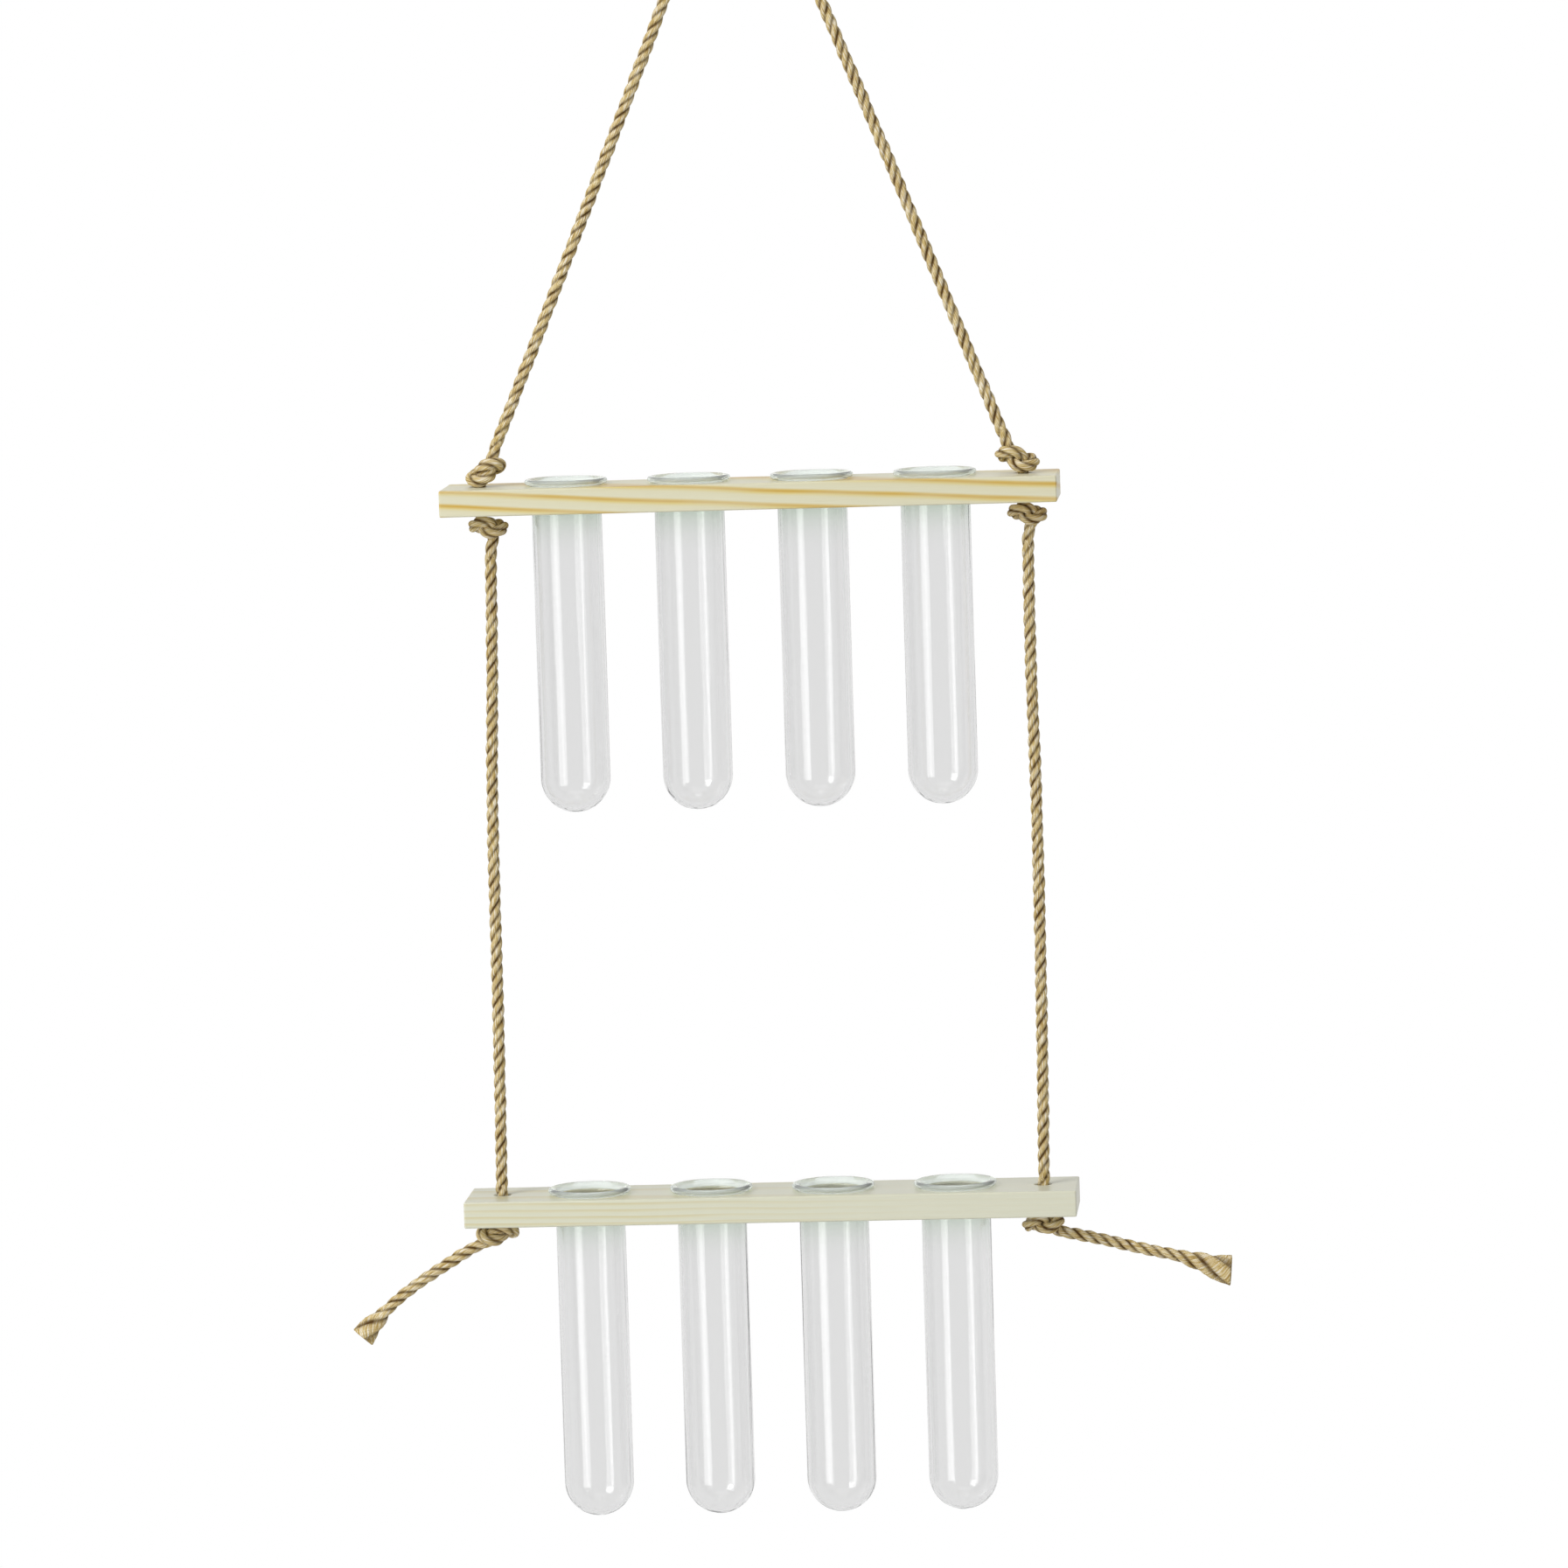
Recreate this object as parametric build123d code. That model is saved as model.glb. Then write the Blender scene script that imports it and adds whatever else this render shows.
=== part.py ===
from build123d import *
import math
import os

# A hanging vase: two pine boards, one under the other, hold four glass test tubes each and are
# strung on one twisted cord that hangs over a hook. Sizes are in millimetres. +Z is up, X runs
# along the boards, the viewer is on the -Y side, and the origin is where the cord bears on the hook.

# Glass test tubes
tube_diameter = 25.0
tube_length = 120.0
glass_wall = 1.3
lip_flare = 1.35  # radius of the outward curl under the rim
lip_thickness = 2.0  # the rim is rolled to a bead, thicker than the wall
tube_count = 4  # in each board
tube_pitch = 44.0

# Pine boards
board_thickness = 9.5
edge_wood = 4.0  # left in front of a tube hole, and behind it
tube_to_cord = 31.5  # from an outer tube to the cord hole beside it
cord_to_end = 12.5  # from a cord hole to the end of its board
board_edge_round = 0.6
tube_hole_clearance = 0.5  # all round a tube
tube_hole_edge_break = 0.7
cord_hole_clearance = 1.0  # all round the cord
cord_hole_edge_break = 0.4

# Cord and heights
cord_diameter = 4.0
hook_radius = 5.0  # of the hook or nail that the cord's bend fits
hook_to_upper_board = 226.0
tube_headroom = 138.3  # from the upper tubes' round bottoms down to the lower board

# Fits
seat_gap = 0.3  # between a piece and the face that it rests on
flex_gap = 0.3  # between two stretches of cord where the cord flexes

# An overhand knot, in cord diameters. Each point is (towards the viewer, towards the middle of the
# vase, up) from the knot's centre. The list runs from the middle of the knot to the strand that leaves
# at the top, and the other half is the same list turned half a turn about the first axis.
knot_half = [
    (-1.05, 0.0, 0.0),
    (-0.75, -1.3, -0.3),
    (0.4, -1.7, -0.8),
    (1.25, -0.55, -0.95),
    (0.7, 0.55, -0.3),
    (0.05, 0.5, 0.75),
]
knot_lean = 12.0  # degrees by which the knot leans towards the middle of the vase
knot_top_end = (0.0, 0.2, 1.95)  # where a strand has run straight, above a knot
knot_bottom_end = (0.0, -0.2, -1.95)  # and below one
left_under_ends = ((0.0, 0.0, 1.95), (0.0, 1.0, -1.95))  # above and below the left knot under the upper board
right_under_ends = ((0.0, 0.6, 1.95), (0.0, -0.1, -1.95))
hanger_end = (0.0, 1.4, 1.95)  # above a top knot, where the strand leans in towards the hook
tail_bend = (0.0, -0.95, -1.4)  # below a lower knot, where the strand turns out to its tail
tail_start = (-0.1, -2.25, -1.95)

# The tails' routes after their knots. Each point is (outwards from the cord hole, forwards, below the
# lower board), and at the last one the cord begins to fray.
left_tail_route = [
    (21.0, 0.6, 18.4),
    (34.0, 1.8, 26.0),
    (44.5, 3.4, 33.8),
]
right_tail_route = [
    (22.0, 0.4, 15.4),
    (35.0, 1.2, 17.9),
    (47.0, 2.4, 20.6),
]
left_fray_length = 12.0
left_fray_width = 8.4
right_fray_length = 20.0
right_fray_width = 11.2
fray_thickness = 4.6
arc_share = 0.45  # of the shorter run beside a bend, taken up by the bend's arc

# How finely a knot is searched for the place where its cord comes closest to itself
gap_steps = 240
gap_reach = 1.9  # cord diameters along the cord, within which it can't meet itself

# What follows from those sizes
tube_radius = tube_diameter / 2
bore_radius = tube_radius - glass_wall
cord_radius = cord_diameter / 2
tube_hang = tube_length - lip_thickness - seat_gap  # below the top of the board
tube_hole_radius = tube_radius + tube_hole_clearance
cord_hole_radius = cord_radius + cord_hole_clearance
tube_row = [(i - (tube_count - 1) / 2) * tube_pitch for i in range(tube_count)]
cord_hole_x = tube_row[-1] + tube_to_cord
board_length = 2 * (cord_hole_x + cord_to_end)
board_depth = 2 * (tube_hole_radius + edge_wood)
upper_top = -hook_to_upper_board
upper_bottom = upper_top - board_thickness
lower_top = upper_top - tube_hang - tube_headroom
lower_bottom = lower_top - board_thickness
flex_drop = flex_gap + cord_radius  # from where a cord flexes to the flat end of the next stretch

UP = Vector(0, 0, 1)
DOWN = Vector(0, 0, -1)
LEFT, RIGHT = -1, 1


def tube(x, board_top):
    """A round-bottomed tube whose rolled lip rests on the board, as one revolved wall."""
    ball = tube_radius - tube_hang  # height of the round bottom's centre
    curl = seat_gap - lip_flare  # height of the centre of the curl under the lip
    lip = tube_radius + lip_flare
    rim = seat_gap + lip_thickness / 2
    inner_flare = lip - bore_radius
    inner_curl = seat_gap + lip_thickness - inner_flare
    outline = [
        CenterArc((0, ball), tube_radius, -90, 90),
        Line((tube_radius, ball), (tube_radius, curl)),
        CenterArc((lip, curl), lip_flare, 180, -90),
        CenterArc((lip, rim), lip_thickness / 2, -90, 180),
        CenterArc((lip, inner_curl), inner_flare, 90, 90),
        Line((bore_radius, inner_curl), (bore_radius, ball)),
        CenterArc((0, ball), bore_radius, 0, -90),
        Line((0, ball - bore_radius), (0, ball - tube_radius)),
    ]
    wall = Plane.XZ * make_face(Curve() + outline)
    return Pos(x, 0, board_top) * revolve(wall, Axis.Z)


def drilled_hole(radius, edge_break):
    """The cutter for a hole through a board, with both of its edges broken."""
    face = board_thickness / 2
    outline = Polyline(
        (0, -face),
        (radius + edge_break, -face),
        (radius, edge_break - face),
        (radius, face - edge_break),
        (radius + edge_break, face),
        (0, face),
        close=True,
    )
    return revolve(Plane.XZ * make_face(outline), Axis.Z)


def board(top):
    """A planed board with its tube holes in a row and a cord hole near each end."""
    plank = Box(board_length, board_depth, board_thickness)
    plank = fillet(plank.edges(), board_edge_round)
    for x in tube_row:
        plank -= Pos(x, 0, 0) * drilled_hole(tube_hole_radius, tube_hole_edge_break)
    for x in (-cord_hole_x, cord_hole_x):
        plank -= Pos(x, 0, 0) * drilled_hole(cord_hole_radius, cord_hole_edge_break)
    return Pos(0, 0, top - board_thickness / 2) * plank


def biarc(start, start_way, end, end_way):
    """Two arcs that leave start along start_way, meet smoothly and reach end along end_way."""
    chord = end - start
    along = chord.dot(start_way + end_way)
    spread = 2 * (1 - start_way.dot(end_way))
    reach = chord.dot(chord) / (along + math.sqrt(along**2 + spread * chord.dot(chord)))
    near_start = start + start_way * reach
    near_end = end - end_way * reach
    middle = (near_start + near_end) * 0.5
    first = Edge.make_tangent_arc(start, start_way, middle)
    second = Edge.make_tangent_arc(middle, near_end - near_start, end)
    return [first, second]


def smooth_path(points, first_way, last_way):
    """Biarcs through the points. At each one between, the path follows the circle through it and
    its two neighbours."""
    ways = [first_way]
    for before, here, after in zip(points, points[1:], points[2:]):
        back = here - before
        ahead = after - here
        way = back * (ahead.length / back.length) + ahead * (back.length / ahead.length)
        ways.append(way.normalized())
    ways.append(last_way)
    arcs = []
    for i in range(len(points) - 1):
        arcs += biarc(points[i], ways[i], points[i + 1], ways[i + 1])
    return arcs


def cord_along(name, edges):
    """The round cord swept along a path, as one solid. Prints its length, its tightest radius and how
    true its volume is."""
    path = Wire(edges)
    section = Plane(path.position_at(0), z_dir=path.tangent_at(0)) * Circle(cord_radius)
    solid = sweep(section, path=path)
    radii = [edge.radius for edge in edges if edge.geom_type == GeomType.CIRCLE]
    tightest = f"tightest radius {min(radii):.2f}" if radii else "straight"
    swept = solid.volume / (math.pi * cord_radius**2 * path.length)
    print(f"{name}: length {path.length:.1f}, {tightest}, volume over section times length {swept:.4f}")
    return solid


def ball_end(centre):
    """The round end of a stretch of cord, about the point where the cord flexes."""
    return Pos(*centre) * Sphere(cord_radius)


def leaned(point):
    """A point of the knot, with the knot leaned towards the middle of the vase."""
    front, inward, rise = point
    turn = math.radians(knot_lean)
    return (
        front,
        inward * math.cos(turn) + rise * math.sin(turn),
        rise * math.cos(turn) - inward * math.sin(turn),
    )


def half_turned(point):
    front, inward, rise = point
    return (front, -inward, -rise)


knot_core = [leaned(half_turned(p)) for p in reversed(knot_half)] + [leaned(p) for p in knot_half[1:]]
core_points = [Vector(*p) for p in knot_core]
core_arcs = smooth_path(core_points, UP, UP)
knot_half_height = Wire(core_arcs).bounding_box().max.Z * cord_diameter + cord_radius


def in_place(point, side, centre):
    """A point of a knot's route, in cord diameters, as a point of the vase."""
    front, inward, rise = point
    return centre + Vector(-side * inward, -front, rise) * cord_diameter


def knot_path(side, centre, bottom_ends, bottom_way, top_end, top_way):
    """An overhand knot's path, from the strand below it to the strand above it."""
    route = [*reversed(bottom_ends), *knot_core, top_end]
    points = [in_place(p, side, centre) for p in route]
    return smooth_path(points, bottom_way * -1, top_way)


def knot_beside_hole(side, height, end):
    """The centre of a knot, at a height, whose strand end lies on its cord hole's axis."""
    front, inward, rise = end
    return Vector(side * (cord_hole_x + inward * cord_diameter), 0, height)


def least_gap(edges):
    """The least clear space between the cord and itself, away from its own neighbourhood."""
    path = Wire(edges)
    step = path.length / gap_steps
    points = [path.position_at(i / gap_steps) for i in range(gap_steps + 1)]
    apart = [
        (points[i] - points[j]).length
        for i in range(gap_steps + 1)
        for j in range(i)
        if (i - j) * step > gap_reach * cord_diameter
    ]
    return min(apart) - cord_diameter


def hook_tangent(point):
    """Where the cord from a point outside the hook first touches its bend round the hook."""
    bend = hook_radius + cord_radius
    hook = Vector(0, 0, -hook_radius)
    away = point - hook
    side = math.copysign(1, point.X)
    turn = math.atan2(away.X, away.Z) - side * math.acos(bend / away.length)
    return hook + Vector(math.sin(turn), 0, math.cos(turn)) * bend


def top_knot(side):
    """The knot on the upper board, with its strand half way down the hole. Also gives where the
    cord above it flexes."""
    height = upper_top + seat_gap + knot_half_height
    centre = knot_beside_hole(side, height, knot_bottom_end)
    top = in_place(hanger_end, side, centre)
    way = (hook_tangent(top) - top).normalized()
    edges = knot_path(side, centre, [knot_bottom_end], DOWN, hanger_end, way)
    foot = in_place(knot_bottom_end, side, centre)
    halfway = Vector(foot.X, foot.Y, (upper_top + upper_bottom) / 2)
    edges.insert(0, Edge.make_line(halfway, foot))
    return edges, top + way * flex_drop


def under_knot(side, above, below):
    """The knot under the upper board, with its strand half way up the hole. Also gives where the
    cord below it flexes."""
    height = upper_bottom - seat_gap - knot_half_height
    centre = knot_beside_hole(side, height, above)
    edges = knot_path(side, centre, [below], DOWN, above, UP)
    head = in_place(above, side, centre)
    halfway = Vector(head.X, head.Y, (upper_top + upper_bottom) / 2)
    edges.append(Edge.make_line(head, halfway))
    return edges, in_place(below, side, centre) + DOWN * flex_drop


def tail_points(side, route):
    """A tail's route as points of the vase."""
    return [
        Vector(side * (cord_hole_x + outward), -forward, lower_bottom - below)
        for outward, forward, below in route
    ]


def lower_knot(side, route):
    """The knot under the lower board, with its strand up through the hole. Also gives where its
    tail starts."""
    height = lower_bottom - seat_gap - knot_half_height
    centre = knot_beside_hole(side, height, knot_top_end)
    start = in_place(tail_start, side, centre)
    way = (tail_points(side, route)[0] - start).normalized()
    edges = knot_path(side, centre, [tail_bend, tail_start], way, knot_top_end, UP)
    head = in_place(knot_top_end, side, centre)
    edges.append(Edge.make_line(head, Vector(head.X, head.Y, lower_top + seat_gap)))
    return edges, start


def tail(side, start, route, fray_length, fray_width):
    """The loose end below a lower knot: a gently bent cord that frays out flat to its cut end."""
    points = [start, *tail_points(side, route)]
    runs = [b - a for a, b in zip(points, points[1:])]
    radii = []
    for run, after in zip(runs, runs[1:]):
        half_turn = math.radians(run.get_angle(after)) / 2
        radii.append(arc_share * min(run.length, after.length) / math.tan(half_turn))
    edges = FilletPolyline(*points, radius=radii).edges()
    way = runs[-1].normalized()
    flat = Vector(0, 1, 0).cross(way)
    begin = Plane(points[-1], x_dir=flat, z_dir=way)
    cut = Plane(points[-1] + way * fray_length, x_dir=flat, z_dir=way)
    fray = loft([begin * Circle(cord_radius), cut * Ellipse(fray_width / 2, fray_thickness / 2)])
    print("tail radii", [round(r, 1) for r in radii])
    return edges, fray


parts = {}
for tier, top in (("upper", upper_top), ("lower", lower_top)):
    parts[f"{tier}_board"] = board(top)
    for number, x in enumerate(tube_row, start=1):
        parts[f"{tier}_tube_{number}"] = tube(x, top)

hook_ends = []
sides = (
    ("left", LEFT, left_under_ends, left_tail_route, left_fray_length, left_fray_width),
    ("right", RIGHT, right_under_ends, right_tail_route, right_fray_length, right_fray_width),
)
for name, side, under_ends, route, fray_length, fray_width in sides:
    edges, flex = top_knot(side)
    parts[f"{name}_top_knot"] = cord_along(f"{name} top knot", edges)
    print("least gap", round(least_gap(edges), 2), "flexes at", flex)

    hook_ends.append(hook_tangent(flex))
    span = cord_along(f"{name} hanger cord", [Edge.make_line(flex, hook_ends[-1])])
    parts[f"{name}_hanger_cord"] = span + ball_end(flex)

    edges, flex = under_knot(side, *under_ends)
    parts[f"{name}_under_knot"] = cord_along(f"{name} under knot", edges)
    print("least gap", round(least_gap(edges), 2), "flexes at", flex)

    landing = Vector(side * cord_hole_x, 0, lower_top + seat_gap + flex_drop)
    span = cord_along(f"{name} middle cord", [Edge.make_line(flex, landing)])
    parts[f"{name}_middle_cord"] = span + ball_end(flex) + ball_end(landing)
    print("flexes at", landing)

    edges, start = lower_knot(side, route)
    parts[f"{name}_lower_knot"] = cord_along(f"{name} lower knot", edges)
    print("least gap", round(least_gap(edges), 2))

    edges, fray = tail(side, start, route, fray_length, fray_width)
    parts[f"{name}_tail"] = cord_along(f"{name} tail", edges) + fray

crown = Vector(0, 0, cord_radius)
bend = Edge.make_three_point_arc(hook_ends[0], crown, hook_ends[1])
parts["hook_bend"] = cord_along("hook bend", [bend])

os.makedirs("parts", exist_ok=True)
for name, solid in parts.items():
    solid.label = name
    export_step(solid, f"parts/{name}.step")
print(f"{len(parts)} nodes, boards {board_length:.1f} x {board_depth:.1f} x {board_thickness:.1f}")
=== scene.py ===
# %% [markdown]
# # A hanging test tube vase
#
# Two pine boards hang one under the other on a knotted three-strand hemp cord, and each holds four
# round-bottomed glass test tubes. The solids come from a CAD model in metres: +Z is up, X runs along the
# boards and the viewer stands on the -Y side. This lesson keeps the CAD boards, dresses them as planed
# pine, spins the tubes afresh as smooth glass, and lays a real rope where the CAD has a plain round one.

import bpy
import numpy as np
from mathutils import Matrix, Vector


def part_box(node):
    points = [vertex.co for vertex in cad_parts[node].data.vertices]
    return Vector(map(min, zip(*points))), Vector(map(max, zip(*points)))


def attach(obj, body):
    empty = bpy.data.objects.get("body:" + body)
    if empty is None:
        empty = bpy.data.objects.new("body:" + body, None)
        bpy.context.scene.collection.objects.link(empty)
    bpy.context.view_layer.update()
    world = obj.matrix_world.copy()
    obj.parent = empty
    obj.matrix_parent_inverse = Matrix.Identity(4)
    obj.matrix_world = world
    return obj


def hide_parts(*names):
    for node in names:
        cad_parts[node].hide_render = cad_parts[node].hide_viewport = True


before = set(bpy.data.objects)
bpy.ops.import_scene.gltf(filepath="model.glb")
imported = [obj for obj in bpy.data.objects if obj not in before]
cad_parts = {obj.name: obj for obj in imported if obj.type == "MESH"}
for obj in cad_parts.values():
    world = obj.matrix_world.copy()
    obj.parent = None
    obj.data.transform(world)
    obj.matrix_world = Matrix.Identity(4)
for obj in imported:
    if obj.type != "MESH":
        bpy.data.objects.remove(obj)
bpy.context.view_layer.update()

# %% [markdown]
# ## The camera
#
# The photograph was taken from a few metres away with a long lens, a little to the right of the vase and
# a little above it, and the camera was not quite level. A camera's place, its three turns and its focal
# length in pixels of the photograph say all of that, so they are written down as numbers and turned into
# the camera's matrix, which is clearer than aiming it with a constraint.

# %% Place the camera
CAMERA_PLACE = np.array([0.2298, -3.0, -0.015])
YAW, PITCH, ROLL = np.radians([4.2136, -6.0793, -1.7864])
PHOTO_WIDTH_PX = 1793
FOCAL_PX = 9661

forward = np.array([-np.sin(YAW) * np.cos(PITCH), np.cos(YAW) * np.cos(PITCH), np.sin(PITCH)])
level_right = np.array([np.cos(YAW), np.sin(YAW), 0.0])
level_up = np.cross(level_right, forward)
right = level_right * np.cos(ROLL) + level_up * np.sin(ROLL)
up = level_up * np.cos(ROLL) - level_right * np.sin(ROLL)

camera = bpy.data.objects.new("camera", bpy.data.cameras.new("camera"))
camera.data.lens = FOCAL_PX / PHOTO_WIDTH_PX * camera.data.sensor_width
camera.data.clip_end = 50.0
pose = np.eye(4)
pose[:3] = np.stack([right, up, -forward, CAMERA_PLACE], axis=1)
camera.matrix_world = pose.T.tolist()
bpy.context.scene.collection.objects.link(camera)
bpy.context.scene.camera = camera
print("lens", round(camera.data.lens, 1), "mm")

# %% [markdown]
# ## One skin for every piece
#
# A rope, its opened end and a glass tube are the same kind of surface: rings of points, one after the
# other, closed to a point at both ends. So one function turns such a grid into a mesh. It works on whole
# arrays and gives each face corner a UV, so that a pattern can follow the piece.


# %% Make a closed skin from rings
def closed_skin(name, rings, along, **shades):
    """A mesh over a grid of points [ring, place on the ring].

    The first and the last ring are one point each, the poles. Neighbouring points of two neighbouring
    rings make a quad, and the rings beside the poles are closed by triangles. UV is (along at that ring,
    share of the way round). shades are point attributes on the same grid."""
    rows, sides = rings.shape[:2]
    inner = rows - 2

    def flat(grid):
        return np.concatenate([grid[:1, 0], grid[1:-1].reshape(inner * sides, -1), grid[-1:, 0]])

    j = np.arange(sides)
    after = (j + 1) % sides
    ring = 1 + np.arange(inner - 1)[:, None] * sides
    next_ring = ring + sides
    last_ring = 1 + (inner - 1) * sides
    last_pole = inner * sides + 1
    quads = np.stack([ring + j, ring + after, next_ring + after, next_ring + j], axis=-1)
    near_cap = np.stack([0 * j, 1 + after, 1 + j], axis=-1)
    far_cap = np.stack([0 * j + last_pole, last_ring + j, last_ring + after], axis=-1)
    mesh = bpy.data.meshes.new(name)
    faces = quads.reshape(-1, 4).tolist() + near_cap.tolist() + far_cap.tolist()
    mesh.from_pydata(flat(rings).tolist(), [], faces)

    here, there = along[1:-2, None] + 0 * j, along[2:-1, None] + 0 * j
    left, middle, right = j / sides, (j + 0.5) / sides, (j + 1) / sides
    quad_uv = np.stack([here, 0 * here + left, here, 0 * here + right,
                        there, 0 * here + right, there, 0 * here + left], axis=-1)
    near_uv = np.stack([0 * j + along[0], middle, 0 * j + along[1], right, 0 * j + along[1], left], axis=-1)
    far_uv = np.stack([0 * j + along[-1], middle, 0 * j + along[-2], left, 0 * j + along[-2], right], axis=-1)
    uv = np.concatenate([quad_uv.ravel(), near_uv.ravel(), far_uv.ravel()])
    mesh.uv_layers.new(name="UVMap").uv.foreach_set("vector", uv.astype(np.float32))
    for shade, values in shades.items():
        layer = mesh.attributes.new(shade, "FLOAT", "POINT")
        layer.data.foreach_set("value", flat(values[..., None]).ravel().astype(np.float32))
    mesh.shade_smooth()
    made = bpy.data.objects.new(name, mesh)
    bpy.context.scene.collection.objects.link(made)
    return made


# %% [markdown]
# ## Where the cord runs
#
# One cord hangs over a hook, slopes down to the upper board, is knotted above and below it, drops to the
# lower board and is knotted under it. Each stretch that moves by itself is one smooth spline. A NURBS
# spline only comes near its points and cuts inside its corners, so the points of a knot lie a little
# outside the line that the cord follows. Lengths are in metres. One overhand knot serves six times: each
# place has its own size, lean and hand, because no two were pulled tight alike. A lower knot leaves out its
# last point, because its strand turns out to the tail before it has run straight down.

# %% The knot
CORD = 0.0044
# (towards the viewer, across, up): from the knot's middle, which is behind, round its outer loop, across its
# front and out at its top. The other half is this one turned half a turn.
KNOT_HALF = np.array([
    (-0.92, 0.0, 0.0),
    (-0.75, -1.18, -0.22),
    (0.37, -1.63, -0.71),
    (1.24, -0.45, -0.9),
    (0.59, 0.6, -0.29),
    (-0.04, 0.5, 0.61),
])


def knot(x, z, hand, lean, size):
    """An overhand knot's points from its top to its foot: the half list backwards, then its half turn about
    the line of sight, leaned by some degrees, sized and set at x and z. hand is 1 for a strand that comes in
    left of the middle and leaves right of it, and -1 for the mirror image."""
    front, across, rise = np.concatenate([KNOT_HALF[::-1], KNOT_HALF[1:] * [1, -1, -1]]).T
    lean = np.radians(lean)
    sideways = across * np.cos(lean) + rise * np.sin(lean)
    height = rise * np.cos(lean) - across * np.sin(lean)
    return np.array([x, 0.0, z]) + size * np.stack([-hand * sideways, -front, height], axis=1)


print("knot points", len(knot(0.0, 0.0, 1, 0.0, 0.004)))

# %% The routes
# Where one stretch ends and the next begins.
hangs_from = {"left": (-0.09024, 0.0, -0.2105), "right": (0.09024, 0.0, -0.2105)}
drops_from = {"left": (-0.0939, 0.0, -0.25116), "right": (0.0986, 0.0, -0.25116)}
lands_on = {"left": (-0.0978, 0.0, -0.4794), "right": (0.0979, 0.0, -0.4794)}

routes = {
    "hanger_rope": np.array([
        hangs_from["left"], (-0.0268, 0.0, -0.0600), (-0.0142, 0.0, -0.0250), (-0.0042, 0.0, 0.0022),
        (0.0066, 0.0, 0.0022), (0.0168, 0.0, -0.0250), (0.0327, 0.0, -0.0600), hangs_from["right"],
    ]),
    "left_upper_rope": np.concatenate([
        [hangs_from["left"], (-0.0912, 0.0, -0.2128)],
        knot(-0.0946, -0.2206, -1, -2.0, 0.0037),
        [(-0.0973, 0.0, -0.2283), (-0.0975, 0.0, -0.2332)],
        knot(-0.0943, -0.2403, 1, 20.0, 0.0033),
        [(-0.0936, 0.0, -0.2478), drops_from["left"]],
    ]),
    "left_middle_rope": np.array([
        drops_from["left"], (-0.0944, 0.0, -0.2850), (-0.0967, 0.0003, -0.3400),
        (-0.0969, 0.0004, -0.4300), lands_on["left"],
    ]),
    "left_lower_rope": np.concatenate([
        [lands_on["left"], (-0.0975, 0.0, -0.4892)],
        knot(-0.0996, -0.4956, -1, 20.0, 0.0037)[:-1],
        [(-0.1022, 0.0010, -0.4988), (-0.1085, 0.0010, -0.5007), (-0.1185, 0.0002, -0.5069)],
        [(-0.1290, -0.0012, -0.5133), (-0.1370, -0.0022, -0.5192), (-0.1412, -0.0030, -0.5231)],
    ]),
    "right_upper_rope": np.concatenate([
        [hangs_from["right"], (0.0912, 0.0, -0.2128)],
        knot(0.0957, -0.2207, 1, 8.0, 0.0038),
        [(0.0973, 0.0, -0.2283), (0.0975, 0.0, -0.2332)],
        knot(0.0987, -0.2403, 1, 18.0, 0.0033),
        [(0.0986, 0.0, -0.2478), drops_from["right"]],
    ]),
    "right_middle_rope": np.array([
        drops_from["right"], (0.0981, 0.0, -0.2850), (0.0992, 0.0003, -0.3450),
        (0.0988, 0.0004, -0.4300), lands_on["right"],
    ]),
    "right_lower_rope": np.concatenate([
        [lands_on["right"], (0.0975, 0.0, -0.4892)],
        knot(0.0974, -0.4956, 1, 35.0, 0.0036)[:-1],
        [(0.1015, 0.0020, -0.4991), (0.1070, 0.0010, -0.5002), (0.1195, 0.0002, -0.5027)],
        [(0.1325, -0.0010, -0.5060), (0.1440, -0.0022, -0.5082)],
    ]),
}


def spline_line(points, step):
    """The points of the NURBS spline that has these control points, spread evenly at about step."""
    curve = bpy.data.curves.new("route", "CURVE")
    curve.dimensions = "3D"
    curve.resolution_u = 64
    spline = curve.splines.new("NURBS")
    spline.points.add(len(points) - 1)
    spline.points.foreach_set("co", np.c_[points, np.ones(len(points))].ravel())
    spline.order_u = 3
    spline.use_endpoint_u = True
    holder = bpy.data.objects.new("route", curve)
    mesh = bpy.data.meshes.new_from_object(holder)
    line = np.empty(len(mesh.vertices) * 3)
    mesh.vertices.foreach_get("co", line)
    line = line.reshape(-1, 3)
    bpy.data.meshes.remove(mesh)
    bpy.data.curves.remove(curve)
    run = np.r_[0, np.cumsum(np.linalg.norm(np.diff(line, axis=0), axis=1))]
    even = np.linspace(0, run[-1], int(run[-1] / step) + 1)
    return np.stack([np.interp(even, run, axis) for axis in line.T], axis=1), even


ROPE_STEP = 0.0005
lines = {name: spline_line(points, ROPE_STEP) for name, points in routes.items()}
for name, (line, run) in lines.items():
    print(name, round(run[-1] * 1000, 1), "mm")

# %% [markdown]
# ## Three strands laid up as a rope
#
# The cord is hemp: three strands twisted to the right, one full turn in 14.5 mm. A rope could be three
# tubes wound on a helix, but two thirds of those tubes are hidden inside. What shows is the outline of
# three touching circles, turned as it goes along, so that outline is the profile carried along the path.
# The strands swell and shrink a little, as hand-laid hemp does.

# %% Carry the rope's outline along a line
LAY = 0.0145
STRAND = CORD / 1.68  # three round strands that just touch would be CORD / 2.155, but these press together
STRAND_OUT = (CORD - STRAND) / 2
ROPE_SIDES = 36
CAP_ROWS = 7
CAP_REACH = 0.95 * CORD / 2
SWELL = 0.022
SWELL_WAVES = (0.009, 0.06)  # the shortest and the longest

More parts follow.
